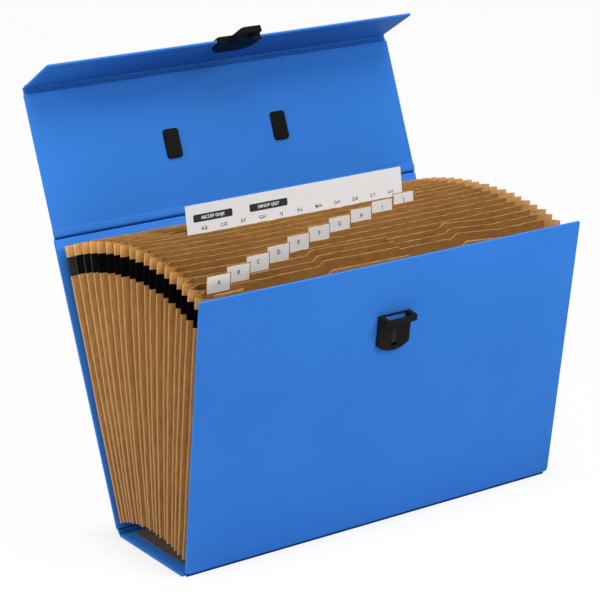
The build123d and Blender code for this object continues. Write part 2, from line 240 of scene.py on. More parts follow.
def ramp(tree, source, stops):
    node = tree.nodes.new("ShaderNodeValToRGB")
    while len(node.color_ramp.elements) < len(stops):
        node.color_ramp.elements.new(0.5)
    for element, (position, colour) in zip(node.color_ramp.elements, stops):
        element.position = position
        element.color = (*colour, 1.0)
    tree.links.new(source, node.inputs["Fac"])
    return node.outputs["Color"]


def grey(level_of_grey):
    return (level_of_grey, level_of_grey, level_of_grey)


def plug(tree, socket, value):
    """Links a node's output to a socket, or sets the socket's value."""
    if hasattr(value, "is_output"):
        tree.links.new(value, socket)
    else:
        socket.default_value = value


def blend_colours(tree, factor, first, second, kind="MIX"):
    node = tree.nodes.new("ShaderNodeMix")
    node.data_type = "RGBA"
    node.blend_type = kind
    for socket, value in ((0, factor), (6, first), (7, second)):
        plug(tree, node.inputs[socket], value)
    return node.outputs[2]


def math_node(tree, operation, first, second=0.0):
    node = tree.nodes.new("ShaderNodeMath")
    node.operation = operation
    plug(tree, node.inputs[0], first)
    plug(tree, node.inputs[1], second)
    return node.outputs[0]


def bump(tree, shader, height, strength, distance):
    node = add_node(tree, "ShaderNodeBump", Strength=strength, Distance=distance)
    tree.links.new(height, node.inputs["Height"])
    tree.links.new(node.outputs["Normal"], shader.inputs["Normal"])


def point_value(tree, name):
    """A value stored on a mesh's points: fold is 1 on a pleat's outward fold, edge is 1 at a top edge."""
    node = tree.nodes.new("ShaderNodeAttribute")
    node.attribute_name = name
    return node.outputs["Fac"]


def set_colour(tree, shader, colour):
    tree.links.new(colour, shader.inputs["Base Color"])


def set_surface(shader, roughness, gloss):
    shader.inputs["Roughness"].default_value = roughness
    shader.inputs["Specular IOR Level"].default_value = gloss


# Materials

def cover_material(name, light, dark):
    """Blue covering with a fine woven emboss, faint cloudiness and a slightly uneven face."""
    material, tree, shader = new_material(name)
    coords = coordinates(tree)
    clouds = scaled_noise(tree, coords, scale=9.0, detail=4.0)
    tone = ramp(tree, clouds, [(0.3, dark), (0.7, light)])
    grain = scaled_noise(tree, coords, scale=900.0, detail=2.0)
    flecks = ramp(tree, grain, [(0.3, grey(0.93)), (0.7, grey(1.0))])
    set_colour(tree, shader, blend_colours(tree, 1.0, tone, flecks, "MULTIPLY"))
    weft = scaled_noise(tree, coords, scale=300.0, detail=2.0, stretch=(1.0, 9.0, 9.0))
    warp = scaled_noise(tree, coords, scale=300.0, detail=2.0, stretch=(9.0, 1.2, 1.2))
    swell = math_node(tree, "MULTIPLY", scaled_noise(tree, coords, scale=14.0, detail=1.0), 6.0)
    height = math_node(tree, "ADD", math_node(tree, "ADD", weft, warp), swell)
    bump(tree, shader, height, strength=0.22, distance=0.0003)
    set_surface(shader, roughness=0.55, gloss=0.03)
    return material


def kraft_nodes(tree, shader, light, dark, grain):
    """Mottled brown paper with fine fibres: sets the bump and gives the colour."""
    coords = coordinates(tree)
    clouds = scaled_noise(tree, coords, scale=22.0, detail=5.0)
    tone = ramp(tree, clouds, [(0.28, dark), (0.72, light)])
    fibres = scaled_noise(tree, coords, scale=500.0, stretch=grain)
    speckle = ramp(tree, fibres, [(0.25, (0.72, 0.69, 0.63)), (0.62, grey(1.0))])
    bump(tree, shader, fibres, strength=0.2, distance=0.0002)
    set_surface(shader, roughness=0.85, gloss=0.04)
    return blend_colours(tree, 1.0, tone, speckle, "MULTIPLY")


def kraft_material(name, light, dark, worn):
    """Kraft paper of the sheets, paler in patches along their top edges."""
    material, tree, shader = new_material(name)
    paper = kraft_nodes(tree, shader, light, dark, grain=(0.25, 1.0, 1.0))
    blotches = scaled_noise(tree, coordinates(tree), scale=130.0)
    patches = ramp(tree, blotches, [(0.38, grey(0.1)), (0.6, grey(1.0))])
    edge = ramp(tree, point_value(tree, "edge"), [(0.3, grey(0.0)), (0.8, grey(1.0))])
    rubbed = math_node(tree, "MULTIPLY", edge, patches)
    set_colour(tree, shader, blend_colours(tree, rubbed, paper, (*worn, 1.0)))
    return material


def leaf_material(name, light, dark, worn, valley_shade):
    """Kraft paper of the pleats: painted shade makes it browner in the valleys, painted light makes it
    paler at the top, and it is rubbed along the folds.
    """
    material, tree, shader = new_material(name)
    paper = kraft_nodes(tree, shader, light, dark, grain=(1.0, 1.0, 0.12))
    fold = point_value(tree, "fold")
    # Painted shade: darker towards the valleys, where the fold value falls to 0
    depth = ramp(tree, fold, [*valley_shade, (0.9, grey(1.0))])
    paper = blend_colours(tree, 1.0, paper, depth, "MULTIPLY")
    # Painted light: paler towards the top of each pleat, darker from the tape down
    painted_top_light = ramp(tree, point_value(tree, "edge"), [(0.0, grey(0.76)), (1.0, grey(1.0))])
    paper = blend_colours(tree, 1.0, paper, painted_top_light, "MULTIPLY")
    uneven = math_node(tree, "MULTIPLY", scaled_noise(tree, coordinates(tree), scale=90.0), 0.08)
    rubbed = ramp(tree, math_node(tree, "ADD", fold, uneven), [(0.95, grey(0.0)), (1.0, grey(1.0))])
    set_colour(tree, shader, blend_colours(tree, rubbed, paper, (*worn, 1.0)))
    return material


def tape_material(name, colour, scuff_and_glint, roughness, gloss):
    """Black cloth tape with a close weave, pale flecks and folds greyed towards their colour: scuffs on
    plain tape, painted glints where that colour is bright.
    """
    material, tree, shader = new_material(name)
    coords = coordinates(tree)
    scuff_and_glint_noise = scaled_noise(tree, coords, scale=150.0, detail=6.0)
    tone = ramp(tree, scuff_and_glint_noise, [(0.0, grey(colour)), (0.66, grey(colour * 1.3)), (0.76, grey(scuff_and_glint))])
    greyed = ramp(tree, point_value(tree, "fold"), [(0.95, grey(0.0)), (1.0, grey(0.5))])
    set_colour(tree, shader, blend_colours(tree, greyed, tone, (*grey(scuff_and_glint), 1.0)))
    weave = scaled_noise(tree, coords, scale=1500.0, detail=1.0)
    bump(tree, shader, weave, strength=0.3, distance=0.0002)
    set_surface(shader, roughness, gloss)
    return material


def plastic_material(name, colour, roughness, gloss):
    """Moulded plastic with a fine spark-eroded grain and uneven gloss."""
    material, tree, shader = new_material(name)
    coords = coordinates(tree)
    wear = scaled_noise(tree, coords, scale=60.0)
    set_colour(tree, shader, ramp(tree, wear, [(0.35, grey(colour)), (0.75, grey(colour * 1.5))]))
    sheen = ramp(tree, wear, [(0.3, grey(roughness - 0.06)), (0.7, grey(roughness + 0.08))])
    tree.links.new(sheen, shader.inputs["Roughness"])
    grain = scaled_noise(tree, coords, scale=1400.0, detail=1.0)
    bump(tree, shader, grain, strength=0.15, distance=0.0002)
    shader.inputs["Specular IOR Level"].default_value = gloss
    return material


def paper_material(name, colour):
    """Smooth paper with a slight tooth."""
    material, tree, shader = new_material(name)
    tooth = scaled_noise(tree, coordinates(tree), scale=700.0)
    shade = tuple(part * 0.95 for part in colour)
    set_colour(tree, shader, ramp(tree, tooth, [(0.3, shade), (0.7, colour)]))
    bump(tree, shader, tooth, strength=0.1, distance=0.0001)
    set_surface(shader, roughness=0.7, gloss=0.15)
    return material


def liner_material(name):
    """Grey-brown lining board, specked with fibres."""
    material, tree, shader = new_material(name)
    specks = scaled_noise(tree, coordinates(tree), scale=420.0, detail=4.0)
    tone = ramp(tree, specks, [(0.3, (0.105, 0.085, 0.068)), (0.7, (0.175, 0.145, 0.118))])
    set_colour(tree, shader, tone)
    bump(tree, shader, specks, strength=0.2, distance=0.0002)
    set_surface(shader, roughness=0.85, gloss=0.1)
    return material


def metal_material(name):
    """Dull rivet metal, finely scratched."""
    material, tree, shader = new_material(name)
    scratches = scaled_noise(tree, coordinates(tree), scale=900.0, detail=2.0, stretch=(0.1, 1.0, 1.0))
    set_colour(tree, shader, ramp(tree, scratches, [(0.3, grey(0.05)), (0.7, grey(0.11))]))
    shader.inputs["Metallic"].default_value = 0.7
    shader.inputs["Roughness"].default_value = 0.4
    return material


blue = cover_material("blue_cover", light=(0.041, 0.213, 0.690), dark=(0.036, 0.193, 0.640))
# Painted shade: a very dark blue for the covering deep in the lid's crease and along the front gutter
crease_shade_blue = cover_material("blue_painted_crease_shade", light=(0.006, 0.040, 0.200), dark=(0.005, 0.034, 0.170))
# Painted shade: a darker blue for the floors of the lip's gutter and the rear gutter
gutter_shade_blue = cover_material("blue_painted_gutter_shade", light=(0.027, 0.150, 0.520), dark=(0.024, 0.136, 0.480))
kraft = kraft_material(
    "kraft_paper",
    light=(0.435, 0.216, 0.063),
    dark=(0.335, 0.155, 0.042),
    worn=(0.54, 0.30, 0.115),
)
kraft_edge = kraft_material(
    "kraft_cut_edge",
    light=(0.370, 0.185, 0.062),
    dark=(0.290, 0.138, 0.043),
    worn=(0.52, 0.29, 0.115),
)
# Painted shade in the pleats' valleys: deep on the left, shallow on the right
deep_valley_shade = ((0.0, (0.40, 0.35, 0.28)), (0.42, (0.72, 0.69, 0.63)), (0.75, (0.95, 0.94, 0.92)))
open_valley_shade = ((0.0, (0.80, 0.77, 0.72)), (0.5, (0.92, 0.90, 0.87)))
leaf = leaf_material(
    "kraft_leaf",
    light=(0.690, 0.350, 0.112),
    dark=(0.580, 0.285, 0.086),
    worn=(0.640, 0.390, 0.178),
    valley_shade=deep_valley_shade,
)
# Painted light: a paler copy of the pleats' kraft, with shallower valley shade, for the right end, which
# the lamps leave darker
lit_right_leaf = leaf_material(
    "kraft_leaf_right_painted_light",
    light=(0.780, 0.450, 0.180),
    dark=(0.680, 0.380, 0.148),
    worn=(0.680, 0.440, 0.220),
    valley_shade=open_valley_shade,
)
tape = tape_material("black_tape", colour=0.0012, scuff_and_glint=0.012, roughness=0.6, gloss=0.015)
# Painted glints: the bright flecks and pale folds of the tape on the first few pleats
glint_tape = tape_material("black_tape_painted_glints", colour=0.0016, scuff_and_glint=0.16, roughness=0.45, gloss=0.03)
shiny_tape = tape_material("black_tape_end", colour=0.012, scuff_and_glint=0.070, roughness=0.35, gloss=0.12)
black = plastic_material("black_plastic", colour=0.0050, roughness=0.38, gloss=0.025)
catch_black = plastic_material("catch_plastic", colour=0.0105, roughness=0.42, gloss=0.025)
slide_black = plastic_material("slide_plastic", colour=0.026, roughness=0.45, gloss=0.03)
white = paper_material("white_sticker", colour=(0.86, 0.845, 0.83))
card_white = paper_material("white_card", colour=(0.86, 0.86, 0.865))
ink = paper_material("printed_ink", colour=(0.030, 0.030, 0.032))
liner = liner_material("grey_liner")
rivet = metal_material("rivet_metal")


# Mesh helpers

cut_edge_angle = 45


def place_mesh(name, mesh, materials, smooth_angle):
    for material in materials:
        mesh.materials.append(material)
    mesh.polygons.foreach_set("use_smooth", [True] * len(mesh.polygons))
    mesh.set_sharp_from_angle(angle=math.radians(smooth_angle))
    thing = bpy.data.objects.new(name, mesh)
    bpy.context.scene.collection.objects.link(thing)
    return thing


def add_object(name, vertices, faces, materials, smooth_angle=50):
    mesh = bpy.data.meshes.new(name)
    mesh.from_pydata([tuple(vertex) for vertex in vertices], [], faces)
    mesh.update()
    return place_mesh(name, mesh, materials, smooth_angle)


def grid_faces(columns, rows, first=0):
    """Quads over a grid of points stored column by column."""
    faces = []
    for column in range(columns - 1):
        for row in range(rows - 1):
            corner = first + column * rows + row
            faces.append((corner, corner + rows, corner + rows + 1, corner + 1))
    return faces


def store_values(thing, name, values):
    """Stores a value for each of a mesh's points, for its material to read."""
    thing.data.attributes.new(name, "FLOAT", "POINT").data.foreach_set("value", values)


def thicken(thing, thickness, rim_slot=0):
    """Gives a sheet its thickness for good, with its cut edges in a material slot of their own."""
    modifier = thing.modifiers.new("thickness", "SOLIDIFY")
    modifier.thickness = thickness * MM
    modifier.offset = 0.0
    modifier.material_offset_rim = rim_slot
    bpy.context.view_layer.update()
    shown = thing.evaluated_get(bpy.context.evaluated_depsgraph_get())
    solid = bpy.data.meshes.new_from_object(shown)
    thing.modifiers.clear()
    solid.set_sharp_from_angle(angle=math.radians(cut_edge_angle))
    thing.data = solid


def finish_board(work, name, at, material):
    """Places a board made in its own directions and makes it an object."""
    for vertex in work.verts:
        vertex.co = at(*vertex.co)
    bmesh.ops.recalc_face_normals(work, faces=work.faces)
    mesh = bpy.data.meshes.new(name)
    work.to_mesh(mesh)
    work.free()
    return place_mesh(name, mesh, [material], smooth_angle=35)


box_sides = ((0, 2, 3, 1), (4, 5, 7, 6), (0, 1, 5, 4), (2, 6, 7, 3), (0, 4, 6, 2), (1, 3, 7, 5))
same_place = 0.05
sharp_turn = 1.0
corner_segments = 5
edge_segments = 3


def runs_through(edge, height):
    """Tells whether an edge runs from a board's outer face to its inner face at a height."""
    first, second = (vertex.co for vertex in edge.verts)
    return abs(first.z - second.z) > same_place and abs(first.y - height) < same_place


def rounded_board(name, at, ends, span, depth, top_corner, foot_corner, edge):
    """Covered board with softened edges, in a leaning board's own directions."""
    work = bmesh.new()
    corners = [work.verts.new((x, y, z)) for z in depth for y in span for x in ends]
    for side in box_sides:
        work.faces.new([corners[index] for index in side])
    bmesh.ops.recalc_face_normals(work, faces=work.faces)
    for radius, height in ((top_corner, span[1]), (foot_corner, span[0])):
        if radius:
            upright = [line for line in work.edges if runs_through(line, height)]
            bmesh.ops.bevel(
                work, geom=upright, offset=radius, segments=corner_segments, profile=0.5, affect="EDGES"
            )
    rim = [line for line in work.edges if line.calc_face_angle(0) > sharp_turn]
    bmesh.ops.bevel(work, geom=rim, offset=edge, segments=edge_segments, profile=0.5, affect="EDGES")
    return finish_board(work, name, at, blue)


bar_columns = 60
bar_rates = (0.03, 5.0, 2.0)


def swept_bar(name, at, half_x, section, shaded, shade, waviness):
    """Closed bar along the file: a section of (height, depth) points, some sides deep in a fold, in a
    darker material as painted shade.
    """
    foot_depth = section[0][1]
    work = bmesh.new()
    rings = []
    for column in range(bar_columns):
        x = -half_x + 2 * half_x * column / (bar_columns - 1)
        lift = waviness * drift((x, 1, 1), bar_rates)
        lifted = [(y, z + lift if z > foot_depth else z) for y, z in section]
        rings.append([work.verts.new((x, y, z)) for y, z in lifted])
    for first, second in zip(rings, rings[1:]):
        for index in range(len(section)):
            after = (index + 1) % len(section)
            work.faces.new((first[index], second[index], second[after], first[after]))
    work.faces.new(rings[0])
    work.faces.new(rings[-1])
    bar = finish_board(work, name, at, blue)
    bar.data.materials.append(shade)
    for column in range(bar_columns - 1):
        for side in shaded:
            bar.data.polygons[column * len(section) + side].material_index = 1
    return bar


# Case boards, with softened covered edges. The front and back boards stand slightly out of line.

board_edge = 0.8
lip_edge = 1.2
front_lift = 1.2
front_foot_corner = 3.5
back_past_left = 1.3
front_short_left = 2.3
front_past_right = 1.2
full_length = (-half_length, half_length)


def cover_board(
    name, body, node, at, ends, span, depth, top_corner=0.0, foot_corner=0.0, edge=board_edge
):
    piece = rounded_board(name, at, ends, span, depth, top_corner, foot_corner, edge)
    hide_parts(node)
    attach(piece, body)


cover_board(
    "cover_base", "base", "base_board", level,
    ends=full_length,
    span=(base_fore, base_rear),
    depth=(0.0, board_thickness),
)
cover_board(
    "cover_back", "back_panel", "back_board", back_at,
    ends=(-half_length - back_past_left, half_length),
    span=(hinge_gap, back_height - crease_gap),
    depth=(0.0, board_thickness),
)
cover_board(
    "cover_front", "front_panel", "front_board", front_at,
    ends=(-half_length + front_short_left, half_length + front_past_right),
    span=(front_lift, front_height),
    depth=(-board_thickness, 0.0),
    top_corner=board_corner,
    foot_corner=front_foot_corner,
)
cover_board(
    "cover_lid", "lid", "lid_board", lid_at,
    ends=full_length,
    span=(crease_gap, lid_depth - crease_gap),
    depth=(outer_face, inner_face),
)
cover_board(
    "cover_lip", "lip", "lip_board", lip_at,
    ends=(-lip_half, lip_half),
    span=(crease_gap, lip_depth),
    depth=(outer_face, inner_face),
    top_corner=board_corner,
    edge=lip_edge,
)


# Covering in the creases: soft rolls on the inside.

roll_waviness = 0.1
roll_bend_start = 2.5
lip_roll_past_end = 1.5
fore_roll_inset = 3.5


def crease_roll(name, node, at, half_x, section, shaded, shade, waviness=0.0):
    roll = swept_bar(name, at, half_x, section, shaded, shade, waviness)
    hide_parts(node)
    return roll


lid_roll_section = (
    (0.15, 0.0), (7.85, 0.0), (7.85, 1.6), (8.4, 2.35), (9.0, 2.56), (8.6, 2.66), (7.3, 2.7), (6.0, 2.7),
    (4.4, 2.65), (3.0, 2.5), (2.1, 2.1), (1.5, 1.45), (1.2, 0.95), (0.15, 0.9),
)
lid_roll = crease_roll(
    "lid_gutter", "lid_crease_strip", strip_at, half_length, lid_roll_section,
    shaded=(11, 12, 13),
    shade=crease_shade_blue,
    waviness=roll_waviness,
)
tuple(strip_at(0, roll_bend_start, crease_thickness))
tuple(strip_at(0, lid_gutter, crease_thickness))
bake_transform(lid_roll)

lip_roll_section = (
    (0.15, -0.9), (6.25, -0.9), (6.25, -0.05), (5.3, 0.35), (4.7, 0.55), (4.1, 0.3), (3.0, 0.2),
    (2.0, 0.35), (1.2, 0.8), (0.6, 1.3), (0.15, 1.45),
)
lip_roll = crease_roll(
    "lip_gutter", "lip_crease_strip", lip_strip_at, lip_half + lip_roll_past_end, lip_roll_section,
    shaded=(5, 6, 7, 8),
    shade=gutter_shade_blue,
    waviness=roll_waviness,
)
tuple(lip_strip_at(0, roll_bend_start))
tuple(lip_strip_at(0, lip_gutter))
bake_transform(lip_roll)

rear_roll_section = (
    (base_rear + 0.15, 0.0), (half_depth - 0.3, 4.8), (half_depth - 0.3, 5.9), (half_depth - 0.9, 6.0),
    (half_depth - 2.1, 5.9), (half_depth - 3.3, 5.2), (half_depth - 4.2, 4.2), (half_depth - 4.8, 3.0),
    (base_rear + 0.15, 2.0),
)
rear_roll = crease_roll(
    "rear_gutter", "rear_crease_strip", level, half_length, rear_roll_section,
    shaded=(4, 5, 6, 7),
    shade=gutter_shade_blue,
)
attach(rear_roll, "base")

fore_roll_section = (
    (base_fore - 0.15, 0.0), (base_fore - 0.15, 1.7), (1.1 - half_depth, 1.7), (0.5 - half_depth, 1.4),
    (0.4 - half_depth, 0.2), (0.6 - half_depth, 0.0),
)
fore_roll = crease_roll(
    "fore_gutter", "front_crease_strip", level, half_length - fore_roll_inset, fore_roll_section,
    shaded=range(len(fore_roll_section)),
    shade=crease_shade_blue,
)
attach(fore_roll, "base")


# Covering over the creases outside: thin strips across the joins between boards

skin_thickness = 0.25
skin_inset = 0.4
skin_reach = 2.4
skin_half_steps = 6
skin_lift = 0.15
skin_depth = outer_face - skin_lift
skin_half = half_length - skin_inset
lip_skin_half = lip_half - skin_inset
skin_heights = [skin_reach * (step / skin_half_steps - 1) for step in range(2 * skin_half_steps + 1)]
rear_skin_start = 0.26
rear_skin_run = 4.75
rear_skin_rise = 4.8
rear_skin_drop = 0.1


def skin_path(at, depth, heights):
    return [at(0, y, depth) for y in heights]


def outer_skin(name, half_x, path, body_a, body_b=None):
    """Strip of covering along a path of points, carried by its first body unless it has a second one,
    when it is left in place.
    """
    columns = 3
    vertices = []
    for column in range(columns):
        x = half_x * (column - 1) * MM
        vertices += [point + Vector((x, 0, 0)) for point in path]
    piece = add_object(name, vertices, grid_faces(columns, len(path)), [blue], smooth_angle=60)
    thicken(piece, skin_thickness)
    if body_b is None:
        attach(piece, body_a)
    else:
        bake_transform(piece)


back_skin_path = skin_path(strip_at, -skin_lift, skin_heights)
lid_skin_path = skin_path(lid_at, skin_depth, skin_heights)
lip_strip_skin_path = skin_path(lip_strip_at, skin_depth, skin_heights)
lip_skin_path = skin_path(lip_strip_at, skin_depth, (4.0, 4.8, 5.6, 6.2))
lip_skin_path += [lip_strip_at(0, 6.9, outer_face + skin_lift)]
lip_skin_path += skin_path(lip_at, skin_depth, (0.3, 1.0, 1.8, 2.6))
rear_skin_path = []
for share in (0.2, 0.45, 0.7, 0.9, 1.0):
    y = base_rear + rear_skin_start + share * rear_skin_run
    rear_skin_path.append(level(0, y, share * rear_skin_rise - rear_skin_drop))
rear_skin_path += skin_path(back_at, -skin_lift, (0.6, 1.4, 2.2, 3.0))
outer_skin("crease_skin_back", skin_half, back_skin_path, "back_panel", "lid_strip")
outer_skin("crease_skin_lid", skin_half, lid_skin_path, "lid_strip", "lid")
outer_skin("crease_skin_lip_strip", lip_skin_half, lip_strip_skin_path, "lid")
outer_skin("crease_skin_lip", lip_skin_half, lip_skin_path, "lid", "lip")
outer_skin("crease_skin_rear", skin_half, rear_skin_path, "base", "back_panel")


# Kraft sheets: wavy, with ragged tops, and feet trimmed more towards the front

rises = (
    (first_rise_start, first_rise_width, first_rise_end),
    (second_rise_start, second_rise_width, second_rise_end),
)
trim_at_front = 6.0
foot_trims = [trim_at_front * math.sqrt(number / pocket_count) for number in range(pocket_count + 1)]
swell_size = 1.5
swell_rates = (0.011, 7.3, 0.004)
ripple_size = 0.5
ripple_rates = (0.035, 3.1, 0.01)
ripple_shift = (0, 40, 0)
ragged_size = 0.5
ragged_rates = (0.11, 4.3, 1.0)
skew_height = 3.4
worn_edge = 1.0
sheet_columns = 60
sheet_rows = 15
row_crowding = 1.6
step_half = 0.05
slant_end = 0.1


def tab_place(divider):
    """Middle of a divider's index tab along the file and its height, or None where it has none."""
    number = pocket_count - 1 - divider
    if 0 <= number < tab_count:
        along = bellows_left + tab_from_end + tab_step * number + tab_step_growth * number ** 2
        return along, tab_height - tab_height_fall * number
    return None


def sheet_wave(number, x, y):
    """How far a sheet stands off its flat plane, in millimetres, more towards its free top edge."""
    if number in (0, pocket_count):
        return 0.0
    share = max(0.0, y / sheet_height)
    ends = 1 - min(1.0, abs(x - bellows_middle) / (sheet_width / 2)) ** 4
    swell = drift((x, number, y), swell_rates)
    ripple = drift((x, number, y), ripple_rates, ripple_shift)
    return share * share * ends * (swell_size * swell + ripple_size * ripple)


def raised_parts(number):
    """Raised parts of a sheet's top edge: left, right, height at the left, at the right, and slant."""
    parts = []
    tab = tab_place(number)
    if tab is not None:
        parts.append((tab[0] - tab_width / 2, tab[0] + tab_width / 2, tab[1], tab[1], 0.0))
    if number > pocket_count - rise_sheets:
        parts += [(start, start + width, rise_height, end, rise_slant) for start, width, end in rises]
    if number == pocket_count:
        parts.append((bellows_left, bellows_left + front_rise_width, rise_height, rise_height, 0.0))
    return parts


def rise_at(parts, x):
    """Height of the top edge above a sheet's plain top at x."""
    rise = 0.0
    for left, right, left_height, right_height, slant in parts:
        if left <= x <= right:
            fall = max(0.0, x - left - slant) / (right - left - slant)
            climb = min(1.0, (x - left) / slant) if slant else 1.0
            rise = max(rise, climb * (left_height + (right_height - left_height) * fall))
    return rise


def skew_rise(place, x):
    """Extra height of the bellows' top towards its left end, most in the middle of the fan."""
    share = min(1.0, max(0.0, (bellows_right - x) / sheet_width))
    return skew_height * math.sin(math.pi * place / pocket_count) * share ** 6


def make_sheet(number, top, node):
    """One kraft sheet with its waves, its raised parts and pale cut edges."""
    parts = raised_parts(number)
    places = {bellows_left + sheet_width * step / sheet_columns for step in range(sheet_columns + 1)}
    for left, right, left_height, right_height, slant in parts:
        places |= {left - step_half, left + step_half, left + slant + slant_end}
        places |= {right - step_half, right + step_half}
    places = sorted(x for x in places if bellows_left <= x <= bellows_right)
    low = foot_trims[number]
    vertices = []
    edges = []
    for x in places:
        ragged = ragged_size * drift((x, number, 1), ragged_rates)
        height = top + max(rise_at(parts, x), skew_rise(number, x)) + ragged
        face = height - worn_edge - low
        steps = [row / (sheet_rows - 2) for row in range(sheet_rows - 1)]
        levels = [low + face * (1 - (1 - step) ** row_crowding) for step in steps] + [height]
        for y in levels:
            vertices.append(sheet_at[number](x, y, sheet_wave(number, x, y)))
        edges += [0.0] * (sheet_rows - 1) + [1.0]
    faces = grid_faces(len(places), sheet_rows)
    piece = add_object(f"sheet_{number:02d}", vertices, faces, [kraft, kraft_edge])
    store_values(piece, "edge", edges)
    thicken(piece, sheet_thickness, rim_slot=1)
    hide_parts(node)
    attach(piece, sheet_bodies[number])


make_sheet(0, sheet_height, "back_sheet")
for number in range(1, pocket_count):
    make_sheet(number, sheet_height, f"divider_{number:02d}")
make_sheet(pocket_count, front_sheet_height, "front_sheet")


# Paper labels and plain letters

alphabet = "ABCDEFGHIJKLMNOPQRSTUVWXYZ"
letter_boldness = 0.022
label_thickness = 0.16
label_lift = 0.11


def flat_letters(name, text, at, x, y, z, material, bend, size, narrow):
    """Letters as a thin mesh on a leaning plane, centred at x, y and bent with what carries them."""
    curve = bpy.data.curves.new(name + "_text", "FONT")
    curve.body = text
    curve.align_x = "CENTER"
    curve.align_y = "CENTER"
    curve.offset = letter_boldness
    source = bpy.data.objects.new(name + "_text", curve)
    bpy.context.scene.collection.objects.link(source)
    bpy.context.view_layer.update()
    shown = source.evaluated_get(bpy.context.evaluated_depsgraph_get())
    mesh = bpy.data.meshes.new_from_object(shown)
    bpy.data.objects.remove(source)
    bpy.data.curves.remove(curve)
    mesh.materials.clear()
    mesh.materials.append(material)
    for vertex in mesh.vertices:
        local_x = x + vertex.co.x * size * narrow
        local_y = y + vertex.co.y * size
        vertex.co = at(local_x, local_y, z + bend(local_x, local_y))
    piece = bpy.data.objects.new(name, mesh)
    bpy.context.scene.collection.objects.link(piece)
    return piece


def paper_label(name, at, x, y, z, width, height, material, bend, corner, steps=8, rows=5):
    """Paper label with rounded corners, bent with the sheet that it is stuck to."""
    ends = [0.0, corner * 0.3, corner]
    middle = [corner + (width - 2 * corner) * step / steps for step in range(1, steps)]
    across = ends + middle + [width - end for end in reversed(ends)]
    vertices = []
    for offset in across:
        inset = max(0.0, corner - min(offset, width - offset))
        half = height / 2 - corner + math.sqrt(corner ** 2 - inset ** 2)
        local_x = x - width / 2 + offset
        for row in range(rows):
            local_y = y + half * (2 * row / (rows - 1) - 1)
            vertices.append(at(local_x, local_y, z + bend(local_x, local_y)))
    piece = add_object(name, vertices, grid_faces(len(across), rows), [material], smooth_angle=60)
    thicken(piece, label_thickness)
    return piece


def carry(piece, body):
    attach(piece, body)


# Stickers on the index tabs

sticker_height = 14.5
sticker_margin = 0.6
sticker_corner = 0.6
sticker_letter_rise = 1.0
sticker_letter_lift = 0.12
sticker_depth = sheet_thickness / 2 + label_lift
for number in range(tab_count):
    divider = pocket_count - 1 - number
    at = sheet_at[divider]
    bend = partial(sheet_wave, divider)
    x, height = tab_place(divider)
    y = sheet_height + height - sticker_margin - sticker_height / 2
    label = paper_label(
        f"sticker_{number}", at, x - sticker_margin / 2, y, sticker_depth,
        width=tab_width - 2 * sticker_margin,
        height=sticker_height,
        material=white,
        bend=bend,
        corner=sticker_corner,
    )
    carry(label, sheet_bodies[divider])
    letter = flat_letters(
        f"letter_{number}", alphabet[number], at, x, y + sticker_letter_rise,
        sticker_depth + sticker_letter_lift, ink, bend, size=5.2, narrow=0.8,
    )
    carry(letter, sheet_bodies[divider])


# Index card with its printed bars and letter pairs

card_at = sheet_at[card_divider]
card_top = sheet_height + card_rise
card_left = card_middle - card_width / 2
card_depth = sheet_thickness / 2 + card_clearance + card_thickness / 2
card_corner = 0.8
card_set_off = 0.5
card_curl = 0.5
bar_width = 39.0
bar_height = 6.6
bar_corner = 1.2
bar_drop = 12.0
bars = ((7.0, "ABCDEF GHIJK"), (63.5, "LMNOP QRST"))
pair_count = 11
pair_from_left = 17.0
pair_step = 19.6
pair_drop = 21.5


def card_bend(x, y):
    """How far the card stands off its plane: it bows out towards its middle and its top."""
    share = (y - (card_top - card_height)) / card_height
    return card_set_off + card_curl * share * share * (1 - ((x - card_middle) / (card_width / 2)) ** 2)


card = paper_label(
    "label_card", card_at, card_middle, card_top - card_height / 2, card_depth,
    width=card_width,
    height=card_height,
    material=card_white,
    bend=card_bend,
    corner=card_corner,
    steps=30,
    rows=16,
)
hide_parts("index_card")
carry(card, "card")
for number, (from_left, words) in enumerate(bars):
    x = card_left + from_left + bar_width / 2
    y = card_top - bar_drop
    bar = paper_label(
        f"card_bar_{number}", card_at, x, y, card_depth + label_lift,
        width=bar_width,
        height=bar_height,
        material=ink,
        bend=card_bend,
        corner=bar_corner,
    )
    carry(bar, "card")
    words_piece = flat_letters(
        f"card_bar_{number}_letters", words, card_at, x, y,
        card_depth + 2 * label_lift, card_white, card_bend, size=4.0, narrow=0.9,
    )
    carry(words_piece, "card")
for number in range(pair_count):
    pair = alphabet[2 * number] + "-" + alphabet[2 * number + 1]
    mark = flat_letters(
        f"card_pair_{number}", pair, card_at, card_left + pair_from_left + pair_step * number,
        card_top - pair_drop, card_depth + label_lift, ink, card_bend, size=4.4, narrow=0.85,
    )
    carry(mark, "card")


# Painted shade: a dark sheet on the board behind the catch, seen through the slot that the slide leaves
# open

slot_shade_width = 9.0
slot_shade_height = 19.6
slot_shade_corner = 0.6
slot_shade_lift = 0.09
slot_middle = catch_top - slot_below_top - slot_height / 2


def unbent(x, y):
    return 0.0


slot_shade = paper_label(
    "catch_slot_painted_shade", front_at, 0.0, slot_middle, slot_shade_lift,
    width=slot_shade_width,
    height=slot_shade_height,
    material=black,
    bend=unbent,
    corner=slot_shade_corner,
)
carry(slot_shade, "front_panel")


# Gussets: two leaves to each pocket, with the tape stuck round them

